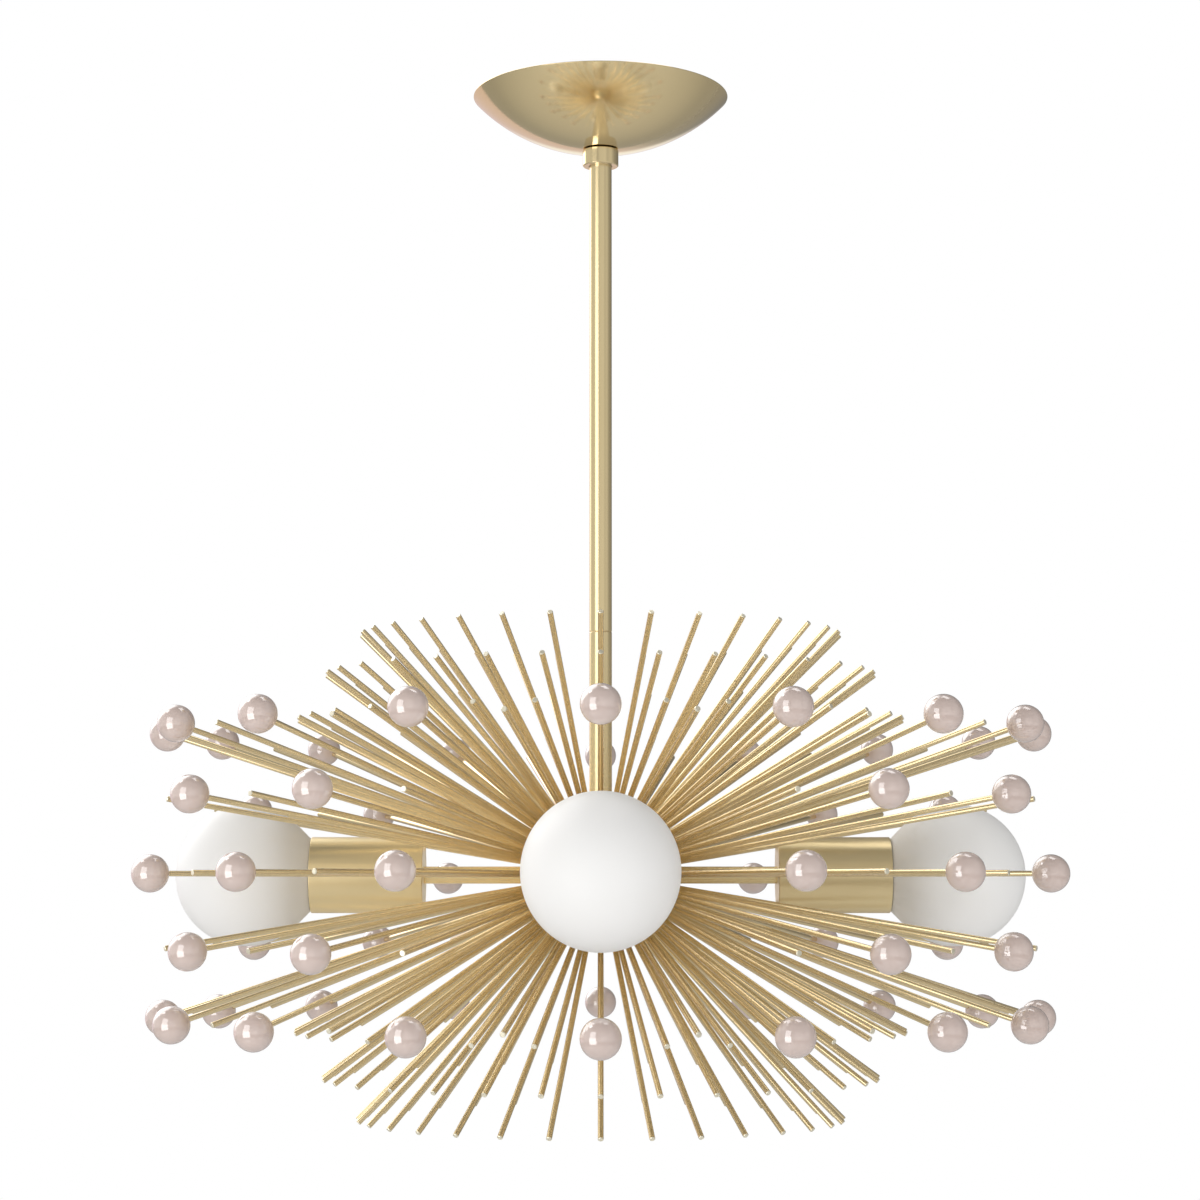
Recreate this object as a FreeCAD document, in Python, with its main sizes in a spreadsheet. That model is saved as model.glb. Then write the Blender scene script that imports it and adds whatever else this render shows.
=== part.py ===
import FreeCAD, Part
import math
import os
from types import SimpleNamespace

import Sketcher

# Beaded chandelier: a burst of thin radial rods round a drilled ball, sixty glazed beads on the
# ends of the long rods, four opal globe lamps, and a stem that hangs from a ball swivel under a
# domed canopy. Millimetres, +Z up. The origin is on the ceiling plane, over the middle of the stem.
# The front of the lamp looks along -Y.

document = FreeCAD.newDocument("BeadedChandelier")

# Driving sizes. Depths are measured down from the ceiling plane, and reaches outwards from the
# vertical axis through the centre of the burst.
sizes = {
    "burst_depth": 444.0,           # ceiling to the centre of the burst
    "fit_gap": 0.05,                # clearance round a piece that is fixed in its hole
    "running_gap": 0.08,            # clearance round a piece that turns in its seat
    "slide_gap": 0.25,              # clearance round the stem in the collar and the canopy
    "free_gap": 0.3,                # clearance between faces of pieces that move apart
    "cut_overrun": 2.0,             # how far a cut runs past the face it starts from
    # burst
    "rod_diameter": 3.0,
    "short_rod_reach": 190.0,       # centre of the burst to the tip of a short rod
    "long_rod_reach": 250.0,        # centre of the burst to the tip of a long rod
    "rod_seat_depth": 6.0,          # depth of the drilled seat in the ball
    "ring_step": 9.0,               # degrees of elevation between two rings of rods
    "bead_diameter": 20.0,
    "bead_past_tip": 5.0,           # tip of a long rod to the centre of its bead
    "bead_bore_room": 0.6,          # room left in the bead past the tip of its rod
    # hub ball
    "hub_diameter": 70.0,
    "hub_cavity_radius": 12.0,
    "hub_cavity_top": 14.0,         # above the centre of the ball
    "hub_wire_radius": 4.0,
    "hub_plug_depth": 7.0,          # from the bottom of the ball up into the cavity
    # arms and sockets
    "arm_diameter": 9.5,
    "arm_wall": 1.25,
    "arm_setback": 2.0,             # wall of the cavity to the inner end of an arm
    "arm_in_socket": 8.0,           # how far an arm reaches into the insulator
    "cup_setback": 36.2,            # centre of a globe back to the mouth of its cup
    "cup_length": 62.6,
    "cup_diameter": 42.2,
    "cup_wall": 0.9,
    "cup_floor": 1.5,
    "nut_across": 15.0,
    "nut_height": 3.0,
    "socket_setback": 9.9,          # mouth of the cup back to the rim of the insulator
    "socket_length": 47.0,
    "socket_diameter": 35.0,
    "socket_wire_radius": 3.0,
    "shell_wall": 0.5,
    "shell_gap": 0.35,              # room round the cap of the lamp inside the screw shell
    "contact_thickness": 1.0,
    "contact_radius": 7.0,
    # globe lamps
    "globe_diameter": 78.8,
    "globe_reach": 197.1,           # vertical axis to the centre of a globe
    "globe_wall": 1.0,
    "neck_angle": 45.0,             # degrees between the cone of the neck and its axis
    "cap_diameter": 26.3,
    "cap_length": 22.0,
    "cap_taper": 3.5,
    "cap_taper_radius": 6.0,
    "cap_shoulder_radius": 11.0,
    "cap_tip_radius": 4.5,
    "cap_tip_height": 1.2,
    # stem
    "stem_diameter": 12.7,
    "stem_wall": 1.3,
    "swing_room": 1.5,              # swivel to the shoulder of its ball piece
    "stem_seam_height": 136.0,      # centre of the burst to the seam between the two tubes
    "stem_foot_height": 24.0,       # centre of the burst to the foot of the stem in the ball
    "coupling_length": 30.0,
    "coupling_wall": 1.5,
    # canopy and collar
    "canopy_radius": 73.2,
    "canopy_height": 31.1,
    "canopy_wall": 1.0,
    "collar_diameter": 20.4,
    "collar_height": 9.3,
    "collar_chamfer": 0.5,
    "collar_screw_diameter": 4.0,
    # ceiling bar
    "bar_width": 18.0,
    "bar_thickness": 2.0,
    "bar_drop": 5.0,                # how far the middle of the bar lies below its feet
    "bar_middle": 44.0,             # length of the lowered middle
    "bar_slope": 5.0,               # run of the bend between middle and foot
    "slot_spacing": 88.9,
    "slot_length": 12.0,
    "slot_width": 4.6,
    "slot_margin": 3.55,            # slot to the end of the bar
    "ground_screw_place": 17.0,
    "ground_screw_diameter": 4.0,
    "ground_head_radius": 3.2,
    "ground_head_height": 2.2,
    "ground_screw_above": 2.0,      # how far the ground screw stands above the bar
    # swivel
    "bolt_diameter": 10.0,
    "bolt_bore_radius": 3.0,
    "bolt_head_radius": 7.4,
    "bolt_head_height": 2.0,
    "swivel_diameter": 20.0,
    "swivel_cap_height": 2.4,
    "swivel_cap_radius": 8.6,
    "ball_diameter": 12.6,
    "ball_mouth_radius": 4.9,
    "ball_neck_radius": 3.4,
    "ball_bore_radius": 1.8,
    "ball_shoulder_height": 1.0,
    "ball_plug_length": 8.0,
}


class Size:
    """A number with the expression that gives it, so that a sum of sizes stays bound to the sheet."""

    def __init__(self, value, text):
        self.value = float(value)
        self.text = text

    def __add__(self, other):
        return joined(self, "+", other, self.value + number(other))

    def __sub__(self, other):
        return joined(self, "-", other, self.value - number(other))

    def __mul__(self, other):
        return joined(self, "*", other, self.value * number(other))

    def __truediv__(self, other):
        return joined(self, "/", other, self.value / number(other))


def number(item):
    return item.value if isinstance(item, Size) else float(item)


def expression(item):
    return item.text if isinstance(item, Size) else str(item)


def joined(first, sign, second, value):
    return Size(value, "(" + expression(first) + " " + sign + " " + expression(second) + ")")


def root(item):
    return Size(math.sqrt(item.value), "sqrt(" + item.text + ")")


def across_circle(radius, offset):
    """Half the chord of a circle at an offset from its centre."""
    return root(radius * radius - offset * offset)


def write_sheet():
    sheet = document.addObject("Spreadsheet::Sheet", "Sizes")
    for row, (alias, value) in enumerate(sizes.items(), start=1):
        sheet.set("A" + str(row), alias)
        sheet.set("B" + str(row), str(value))
        sheet.setAlias("B" + str(row), alias)
    document.recompute()
    return {alias: Size(sheet.get(alias), "Sizes." + alias) for alias in sizes}


s = SimpleNamespace(**write_sheet())

rod_radius = s.rod_diameter / 2
bead_radius = s.bead_diameter / 2
bead_reach = s.long_rod_reach + s.bead_past_tip
hub_radius = s.hub_diameter / 2
arm_radius = s.arm_diameter / 2
cup_radius = s.cup_diameter / 2
cup_end = s.globe_reach - s.cup_setback
cup_start = cup_end - s.cup_length
socket_end = cup_end - s.socket_setback
socket_start = socket_end - s.socket_length
arm_start = s.hub_cavity_radius + s.arm_setback
arm_end = socket_start + s.arm_in_socket
globe_radius = s.globe_diameter / 2
cap_radius = s.cap_diameter / 2
shell_bore = cap_radius + s.shell_gap
shell_radius = shell_bore + s.shell_wall
stem_radius = s.stem_diameter / 2
stem_bore = stem_radius - s.stem_wall
bolt_radius = s.bolt_diameter / 2
ball_radius = s.ball_diameter / 2

# The cone of the neck leaves the globe where both have the same slope.
neck_cosine = Size(math.cos(math.radians(s.neck_angle.value)), "cos(" + s.neck_angle.text + " * 1deg)")
neck_sine = Size(math.sin(math.radians(s.neck_angle.value)), "sin(" + s.neck_angle.text + " * 1deg)")
neck_end = s.globe_reach - globe_radius * neck_sine \
    - (globe_radius * neck_cosine - cap_radius) * neck_cosine / neck_sine
cap_shoulder = neck_end - s.cap_length
lamp_tip = cap_shoulder - s.cap_taper - s.cap_tip_height
contact_top = lamp_tip - s.free_gap
contact_floor = contact_top - s.contact_thickness

bar_end = (s.slot_spacing + s.slot_length) / 2 + s.slot_margin

# Depths in the canopy, from the ceiling down.
bar_underside = s.bar_drop + s.bar_thickness
swivel_top = bar_underside + s.free_gap
swivel_cap_foot = swivel_top + s.swivel_cap_height
bolt_head_top = swivel_cap_foot + s.free_gap
bolt_foot = bolt_head_top + s.bolt_head_height
ball_depth = bolt_foot + s.free_gap + ball_radius
seat_radius = ball_radius + s.running_gap
swivel_foot = ball_depth + across_circle(seat_radius, s.ball_mouth_radius)
shoulder_top = swivel_foot + s.swing_room
stem_top = shoulder_top + s.ball_shoulder_height
seam_depth = s.burst_depth - s.stem_seam_height
stem_foot = s.burst_depth - s.stem_foot_height
canopy_rise = s.canopy_height
canopy_sphere = (s.canopy_radius * s.canopy_radius + canopy_rise * canopy_rise) / (canopy_rise * 2)
canopy_inner_sphere = canopy_sphere - s.canopy_wall
canopy_centre = canopy_rise - canopy_sphere
canopy_hole = stem_radius + s.slide_gap
collar_top = canopy_centre + across_circle(canopy_sphere, canopy_hole) + s.free_gap
collar_foot = collar_top + s.collar_height

# Pieces that hang from the ceiling are drawn with their depth as height and then turned over.
# Pieces of an arm are drawn with their reach as height and then laid along the arm.
hanging = FreeCAD.Placement(FreeCAD.Vector(), FreeCAD.Rotation(FreeCAD.Vector(1, 0, 0), 180))
burst_centre = FreeCAD.Vector(0, 0, -s.burst_depth.value)
burst = FreeCAD.Placement(burst_centre, FreeCAD.Rotation())


def along(azimuth, elevation=0.0):
    """Unit vector from the burst centre: azimuth in degrees from the front, towards the right."""
    level = math.cos(math.radians(elevation))
    return FreeCAD.Vector(
        math.sin(math.radians(azimuth)) * level,
        -math.cos(math.radians(azimuth)) * level,
        math.sin(math.radians(elevation)),
    )


def turned_along(direction):
    return FreeCAD.Rotation(FreeCAD.Vector(0, 0, 1), direction)


# Bodies, sketches and the features drawn from them.
parts = []


def keep(item, name, placement):
    item.Label = name
    item.Placement = placement
    parts.append(item)


def origin_plane(body, role):
    return next(plane for plane in body.Origin.OriginFeatures if plane.Role == role)


def new_body(name):
    return document.addObject("PartDesign::Body", "Body_" + name)


def new_sketch(body, name, role, lift=None):
    sketch = body.newObject("Sketcher::SketchObject", name)
    sketch.AttachmentSupport = (origin_plane(body, role), [""])
    sketch.MapMode = "FlatFace"
    if lift is not None:
        sketch.setExpression("AttachmentOffset.Base.z", expression(lift))
    return sketch


def bind(sketch, kind, places, item):
    index = sketch.addConstraint(Sketcher.Constraint(kind, *places, number(item)))
    sketch.setExpression("Constraints[" + str(index) + "]", expression(item))


def pin_point(sketch, place, point):
    """Holds a sketch point at its two coordinates; a coordinate of zero puts it on that axis."""
    across, up = point
    if number(across) == 0.0:
        sketch.addConstraint(Sketcher.Constraint("PointOnObject", *place, -2))
    else:
        bind(sketch, "DistanceX", (-1, 1, *place), across)
    if number(up) == 0.0:
        sketch.addConstraint(Sketcher.Constraint("PointOnObject", *place, -1))
    else:
        bind(sketch, "DistanceY", (-1, 1, *place), up)


def outline(sketch, points, arcs=None):
    """Closed outline through the points; arcs gives the radius and centre of each round side."""
    arcs = arcs or {}
    spots = [FreeCAD.Vector(number(across), number(up), 0) for across, up in points]
    ends = []
    for side, start in enumerate(spots):
        finish = spots[(side + 1) % len(spots)]
        if side not in arcs:
            line = sketch.addGeometry(Part.LineSegment(start, finish))
            ends.append(((line, 1), (line, 2)))
            continue
        radius, centre_across, centre_up = arcs[side]
        centre = FreeCAD.Vector(number(centre_across), number(centre_up), 0)
        first = math.atan2(start.y - centre.y, start.x - centre.x)
        last = math.atan2(finish.y - centre.y, finish.x - centre.x)
        whole = Part.Circle(centre, FreeCAD.Vector(0, 0, 1), number(radius))
        forwards = (last - first) % (2 * math.pi) < math.pi
        if forwards:
            curve = sketch.addGeometry(Part.ArcOfCircle(whole, first, last))
            ends.append(((curve, 1), (curve, 2)))
        else:
            curve = sketch.addGeometry(Part.ArcOfCircle(whole, last, first))
            ends.append(((curve, 2), (curve, 1)))
    for side, (start, finish) in enumerate(ends):
        following = ends[(side + 1) % len(ends)][0]
        sketch.addConstraint(Sketcher.Constraint("Coincident", *finish, *following))
        pin_point(sketch, start, points[side])
        if side in arcs:
            bind(sketch, "Radius", (start[0],), arcs[side][0])


def circle(sketch, radius, across=0.0, up=0.0):
    centre = FreeCAD.Vector(number(across), number(up), 0)
    ring = sketch.addGeometry(Part.Circle(centre, FreeCAD.Vector(0, 0, 1), number(radius)))
    pin_point(sketch, (ring, 3), (across, up))
    bind(sketch, "Radius", (ring,), radius)


def turned_body(name, points, arcs=None):
    """A body turned round its own axis from half of its section."""
    body = new_body(name)
    sketch = new_sketch(body, "Section_" + name, "XZ_Plane")
    outline(sketch, points, arcs)
    turning = body.newObject("PartDesign::Revolution", "Turning_" + name)
    turning.Profile = sketch
    turning.ReferenceAxis = (sketch, ["V_Axis"])
    turning.Angle = 360
    return body


def turned_piece(name, placement, points, arcs=None):
    keep(turned_body(name, points, arcs), name, placement)


def tube_piece(name, placement, radius, bore, start, finish):
    turned_piece(name, placement, [(bore, start), (radius, start), (radius, finish), (bore, finish)])


def pad(body, sketch, name, length, both_ways=False):
    feature = body.newObject("PartDesign::Pad", name)
    feature.Profile = sketch
    feature.setExpression("Length", expression(length))
    if both_ways:
        feature.SideType = "Symmetric"
    return feature


def pocket_through(body, sketch, name):
    feature = body.newObject("PartDesign::Pocket", name)
    feature.Profile = sketch
    feature.Type = "ThroughAll"
    feature.SideType = "Symmetric"
    return feature


def nut_shape():
    """A hexagon nut with its foot on the XY plane."""
    prism = document.addObject("Part::Prism", "NutBlank")
    prism.Polygon = 6
    prism.setExpression("Circumradius", expression(s.nut_across / 2) + " / cos(30deg)")
    prism.setExpression("Height", expression(s.nut_height))
    bore = document.addObject("Part::Cylinder", "NutBore")
    bore.setExpression("Radius", expression(bolt_radius + s.fit_gap))
    bore.setExpression("Height", expression(s.nut_height + s.cut_overrun * 2))
    bore.setExpression("Placement.Base.z", "0 - " + expression(s.cut_overrun))
    nut = document.addObject("Part::Cut", "Nut")
    nut.Base = prism
    nut.Tool = bore
    return nut


def canopy():
    inner_rim = across_circle(canopy_inner_sphere, canopy_centre)
    points = [
        (s.canopy_radius, 0),
        (canopy_hole, canopy_centre + across_circle(canopy_sphere, canopy_hole)),
        (canopy_hole, canopy_centre + across_circle(canopy_inner_sphere, canopy_hole)),
        (inner_rim, 0),
    ]
    arcs = {0: (canopy_sphere, 0, canopy_centre), 2: (canopy_inner_sphere, 0, canopy_centre)}
    turned_piece("canopy", hanging, points, arcs)


def collar():
    """Slip collar: a chamfered ring with a grub screw at the back."""
    radius = s.collar_diameter / 2
    bore = stem_radius + s.slide_gap
    screw_radius = s.collar_screw_diameter / 2
    middle = (collar_top + collar_foot) / 2
    points = [
        (bore, collar_top),
        (radius, collar_top),
        (radius, collar_foot - s.collar_chamfer),
        (radius - s.collar_chamfer, collar_foot),
        (bore, collar_foot),
    ]
    ring = turned_body("collar_ring", points)
    backwards = turned_along(FreeCAD.Vector(0, -1, 0))
    hole = document.addObject("Part::Cylinder", "CollarScrewHole")
    hole.Placement = FreeCAD.Placement(FreeCAD.Vector(), backwards)
    hole.setExpression("Radius", expression(screw_radius + s.fit_gap))
    hole.setExpression("Height", expression(radius + s.cut_overrun))
    hole.setExpression("Placement.Base.z", expression(middle))
    drilled = document.addObject("Part::Cut", "DrilledCollar")
    drilled.Base = ring
    drilled.Tool = hole
    keep(drilled, "collar", hanging)
    screw = document.addObject("Part::Cylinder", "CollarScrew")
    screw.setExpression("Radius", expression(screw_radius))
    screw.setExpression("Height", expression(radius - bore - s.collar_chamfer))
    start = FreeCAD.Vector(0, number(bore), -number(middle))
    keep(screw, "collar_screw", FreeCAD.Placement(start, turned_along(FreeCAD.Vector(0, 1, 0))))


def ceiling_bar():
    """Offset strap with a slot near each end; half is drawn and mirrored."""
    body = new_body("ceiling_bar")
    side = new_sketch(body, "BarSide", "XZ_Plane")
    half_middle = s.bar_middle / 2
    bend_end = half_middle + s.bar_slope
    outline(side, [
        (0, s.bar_drop),
        (half_middle, s.bar_drop),
        (bend_end, 0),
        (bar_end, 0),
        (bar_end, s.bar_thickness),
        (bend_end, s.bar_thickness),
        (half_middle, bar_underside),
        (0, bar_underside),
    ])
    strap = pad(body, side, "Strap", s.bar_width, both_ways=True)
    slot = new_sketch(body, "BarSlot", "XY_Plane")
    place = s.slot_spacing / 2
    width = s.slot_width / 2
    reach = s.slot_length / 2 - width
    near = place - reach
    far = place + reach
    outline(slot, [
        (near, width),
        (far, width),
        (far + width, 0),
        (far, width * -1),
        (near, width * -1),
        (near - width, 0),
    ], {1: (width, far, 0), 2: (width, far, 0), 4: (width, near, 0), 5: (width, near, 0)})
    slot_cut = pocket_through(body, slot, "SlotCut")
    mirrored = body.newObject("PartDesign::Mirrored", "BothHalves")
    mirrored.Originals = [strap, slot_cut]
    mirrored.MirrorPlane = (origin_plane(body, "YZ_Plane"), [""])
    body.Tip = mirrored
    holes = new_sketch(body, "BarHoles", "XY_Plane")
    circle(holes, bolt_radius + s.fit_gap)
    circle(holes, s.ground_screw_diameter / 2 + s.fit_gap, s.ground_screw_place)
    body.Tip = pocket_through(body, holes, "HoleCut")
    keep(body, "ceiling_bar", hanging)


def ground_screw():
    radius = s.ground_screw_diameter / 2
    top = s.bar_drop - s.ground_screw_above
    foot = bar_underside + s.ground_head_height
    spot = FreeCAD.Vector(s.ground_screw_place.value, 0, 0)
    turned_piece("ground_screw", FreeCAD.Placement(spot, hanging.Rotation), [
        (0, top),
        (radius, top),
        (radius, bar_underside),
        (s.ground_head_radius, bar_underside),
        (s.ground_head_radius, foot),
        (0, foot),
    ])


def hanger_bolt(nut):
    """Hollow bolt with its nut on the bar; the swivel turns round its shank."""
    top = s.bar_drop - s.nut_height
    turned_piece("hanger_bolt", hanging, [
        (s.bolt_bore_radius, top),
        (bolt_radius, top),
        (bolt_radius, bolt_head_top),
        (s.bolt_head_radius, bolt_head_top),
        (s.bolt_head_radius, bolt_foot),
        (s.bolt_bore_radius, bolt_foot),
    ])
    spot = FreeCAD.Vector(0, 0, -s.bar_drop.value)
    keep(nut, "hanger_nut", FreeCAD.Placement(spot, FreeCAD.Rotation()))


def swivel():
    """Swivel housing with a ball seat, closed by a screwed cap round the bolt."""
    radius = s.swivel_diameter / 2
    cavity = s.bolt_head_radius + s.free_gap
    cap_seat = s.swivel_cap_radius + s.fit_gap
    turned_piece("swivel_housing", hanging, [
        (seat_radius, ball_depth),
        (s.ball_mouth_radius, swivel_foot),
        (radius, swivel_foot),
        (radius, swivel_top),
        (cap_seat, swivel_top),
        (cap_seat, swivel_cap_foot),
        (cavity, swivel_cap_foot),
        (cavity, ball_depth),
    ], {0: (seat_radius, 0, ball_depth)})
    tube_piece("swivel_cap", hanging, s.swivel_cap_radius, bolt_radius + s.running_gap,
               swivel_top, swivel_cap_foot)


def swivel_ball():
    """Ball, neck, shoulder and the plug that screws into the top of the stem."""
    plug = stem_bore - s.fit_gap
    turned_piece("swivel_ball", hanging, [
        (s.ball_bore_radius, ball_depth - across_circle(ball_radius, s.ball_bore_radius)),
        (s.ball_neck_radius, ball_depth + across_circle(ball_radius, s.ball_neck_radius)),
        (s.ball_neck_radius, shoulder_top),
        (stem_radius, shoulder_top),
        (stem_radius, stem_top),
        (plug, stem_top),
        (plug, stem_top + s.ball_plug_length),
        (s.ball_bore_radius, stem_top + s.ball_plug_length),
    ], {0: (ball_radius, 0, ball_depth)})


def stem():
    """Two tubes that meet at a seam, with a threaded coupling inside."""
    tube_piece("upper_stem", hanging, stem_radius, stem_bore, stem_top, seam_depth)
    tube_piece("lower_stem", hanging, stem_radius, stem_bore, seam_depth, stem_foot)
    coupling = stem_bore - s.fit_gap
    half = s.coupling_length / 2
    tube_piece("stem_coupling", hanging, coupling, coupling - s.coupling_wall,
               seam_depth - half, seam_depth + half)


# Places round a ring of rods are counted from the front, and so are the lamps. A lamp stands at
# every eighth place, and the level rings leave those places and the ones next to them free.
lamp_sides = ("front", "right", "back", "left")
places_round = 32
places_per_lamp = places_round // len(lamp_sides)
all_places = range(places_round)


def places_between_lamps(*places_past_lamp):
    return [place for place in all_places if place % places_per_lamp in places_past_lamp]


open_places = places_between_lamps(2, 3, 4, 5, 6)
even_places = places_between_lamps(0, 2, 4, 6)

# Each ring from the top down, with the places of its rods and those that carry a bead.
ring_rows = [
    ("high_5", all_places, []),
    ("high_4", all_places, []),
    ("high_3", all_places, []),
    ("high_2", all_places, even_places),
    ("high_1", open_places, places_between_lamps(3, 5)),
    ("level", open_places, places_between_lamps(2, 4, 6)),
    ("low_1", open_places, places_between_lamps(3, 5)),
    ("low_2", all_places, even_places),
    ("low_3", all_places, []),
    ("low_4", all_places, []),
    ("low_5", all_places, []),
]

# The same rings with their steps of elevation above the level one.
level_row = len(ring_rows) // 2
rings = [(name, level_row - row, places, bead_places)
         for row, (name, places, bead_places) in enumerate(ring_rows)]


def rod_direction(step, place):
    return along(place * 360 / places_round, step * s.ring_step.value)


def radial_pieces(piece, step, places):
    """Copies of a piece drawn along Z, laid along the rods of one ring."""
    copies = []
    for place in places:
        copy = piece.copy()
        copy.Placement = FreeCAD.Placement(FreeCAD.Vector(), turned_along(rod_direction(step, place)))
        copies.append(copy)
    return copies


def radial_rod(radius, start, finish):
    height = number(finish) - number(start)
    return Part.makeCylinder(number(radius), height, FreeCAD.Vector(0, 0, number(start)))


def group(name, shapes, placement):
    """One node of several separate solids."""
    feature = document.addObject("Part::Feature", "Group_" + name)
    feature.Shape = Part.makeCompound(shapes)
    return keep(feature, name, placement)


def rods_and_beads():
    seat = hub_radius - s.rod_seat_depth
    bead = Part.makeSphere(number(bead_radius), FreeCAD.Vector(0, 0, number(bead_reach)))
    bore = radial_rod(rod_radius + s.fit_gap, bead_reach - bead_radius - s.cut_overrun,
                      s.long_rod_reach + s.bead_bore_room)
    bored_bead = bead.cut(bore)
    for name, step, places, bead_places in rings:
        reach = s.long_rod_reach if bead_places else s.short_rod_reach
        rod = radial_rod(rod_radius, seat, reach)
        group("rods_" + name, radial_pieces(rod, step, places), burst)
        if bead_places:
            group("beads_" + name, radial_pieces(bored_bead, step, bead_places), burst)


def hub():
    """Ball with a wiring cavity, four cross bores for the arms and a drilled seat for every rod."""
    stem_hole = stem_radius + s.fit_gap
    mouth = across_circle(hub_radius, s.hub_cavity_radius) * -1
    body = new_body("hub_blank")
    section = new_sketch(body, "HubSection", "XZ_Plane")
    outline(section, [
        (s.hub_cavity_radius, mouth),
        (stem_hole, across_circle(hub_radius, stem_hole)),
        (stem_hole, s.stem_foot_height),
        (s.hub_wire_radius, s.stem_foot_height),
        (s.hub_wire_radius, s.hub_cavity_top),
        (s.hub_cavity_radius, s.hub_cavity_top),
    ], {0: (hub_radius, 0, 0)})
    ball = body.newObject("PartDesign::Revolution", "Ball")
    ball.Profile = section
    ball.ReferenceAxis = (section, ["V_Axis"])
    ball.Angle = 360
    for role in ("XZ_Plane", "YZ_Plane"):
        bore = new_sketch(body, "ArmBore_" + role, role)
        circle(bore, arm_radius + s.fit_gap)
        body.Tip = pocket_through(body, bore, "ArmBoreCut_" + role)
    drill = radial_rod(rod_radius + s.fit_gap, hub_radius - s.rod_seat_depth, hub_radius + s.cut_overrun)
    drillings = []
    for name, step, places, bead_places in rings:
        drillings += radial_pieces(drill, step, places)
    seats = document.addObject("Part::Feature", "RodSeats")
    seats.Shape = Part.makeCompound(drillings)
    drilled = document.addObject("Part::Cut", "DrilledBall")
    drilled.Base = body
    drilled.Tool = seats
    keep(drilled, "hub_ball", burst)


def hub_plug():
    """Screwed plug that closes the wiring cavity, with its face flush with the ball."""
    radius = s.hub_cavity_radius - s.fit_gap
    top = (hub_radius - s.hub_plug_depth) * -1
    turned_piece("hub_plug", burst, [
        (0, hub_radius * -1),
        (radius, across_circle(hub_radius, radius) * -1),
        (radius, top),
        (0, top),
    ], {0: (hub_radius, 0, 0)})


def socket(side, placement):
    """Arm, spun cup, insulator, screw shell and centre contact of one lamp."""
    arm_hole = arm_radius + s.fit_gap
    tube_piece(side + "_arm", placement, arm_radius, arm_radius - s.arm_wall, arm_start, arm_end)
    turned_piece(side + "_cup", placement, [
        (arm_hole, cup_start),
        (cup_radius, cup_start),
        (cup_radius, cup_end),
        (cup_radius - s.cup_wall, cup_end),
        (cup_radius - s.cup_wall, cup_start + s.cup_floor),
        (arm_hole, cup_start + s.cup_floor),
    ])
    well = shell_radius + s.fit_gap
    turned_piece(side + "_insulator", placement, [
        (arm_hole, socket_start),
        (s.socket_diameter / 2, socket_start),
        (s.socket_diameter / 2, socket_end),
        (well, socket_end),
        (well, contact_floor),
        (s.socket_wire_radius, contact_floor),
        (s.socket_wire_radius, arm_end),
        (arm_hole, arm_end),
    ])
    tube_piece(side + "_screw_shell", placement, shell_radius, shell_bore, contact_floor, socket_end)
    turned_piece(side + "_contact", placement, [
        (0, contact_floor),
        (s.contact_radius, contact_floor),
        (s.contact_radius, contact_top),
        (0, contact_top),
    ])


def lamp(side, placement):
    """Opal globe with a conical neck, and the metal cap under it."""
    inner_radius = globe_radius - s.globe_wall
    turned_piece(side + "_globe", placement, [
        (0, s.globe_reach + globe_radius),
        (globe_radius * neck_cosine, s.globe_reach - globe_radius * neck_sine),
        (cap_radius, neck_end),
        (cap_radius - s.globe_wall / neck_cosine, neck_end),
        (inner_radius * neck_cosine, s.globe_reach - inner_radius * neck_sine),
        (0, s.globe_reach + inner_radius),
    ], {0: (globe_radius, 0, s.globe_reach), 4: (inner_radius, 0, s.globe_reach)})
    turned_piece(side + "_lamp_cap", placement, [
        (0, lamp_tip),
        (s.cap_tip_radius, lamp_tip),
        (s.cap_tip_radius, lamp_tip + s.cap_tip_height),
        (s.cap_taper_radius, lamp_tip + s.cap_tip_height),
        (s.cap_shoulder_radius, cap_shoulder),
        (cap_radius, cap_shoulder),
        (cap_radius, neck_end),
        (0, neck_end),
    ])


def arms():
    seat = cup_start + s.cup_floor
    nut = nut_shape()
    document.recompute()
    nuts = []
    for row, side in enumerate(lamp_sides):
        outwards = rod_direction(0, row * places_per_lamp)
        placement = FreeCAD.Placement(burst_centre, turned_along(outwards))
        socket(side, placement)
        lamp(side, placement)
        copy = nut.Shape.copy()
        copy.Placement = FreeCAD.Placement(outwards * number(seat), turned_along(outwards))
        nuts.append(copy)
    group("arm_nuts", nuts, burst)


def write_parts():
    document.recompute()
    for item in document.Objects:
        if "Invalid" in item.State or "Error" in item.State:
            raise RuntimeError(item.Name + " is " + ", ".join(item.State))
    for item in parts:
        if item.Shape.isNull() or not item.Shape.isValid():
            raise RuntimeError(item.Label + " has no sound shape")
    os.makedirs("parts", exist_ok=True)
    for item in parts:
        item.Shape.exportStep("parts/" + item.Label + ".step")
    print(len(parts), "parts,", sum(len(item.Shape.Solids) for item in parts), "solids")


ceiling_bar()
ground_screw()
hanger_bolt(nut_shape())
swivel()
swivel_ball()
stem()
canopy()
collar()
hub()
hub_plug()
rods_and_beads()
arms()
write_parts()
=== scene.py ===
import math

import bmesh
import bpy
from mathutils import Matrix, Vector


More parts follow.
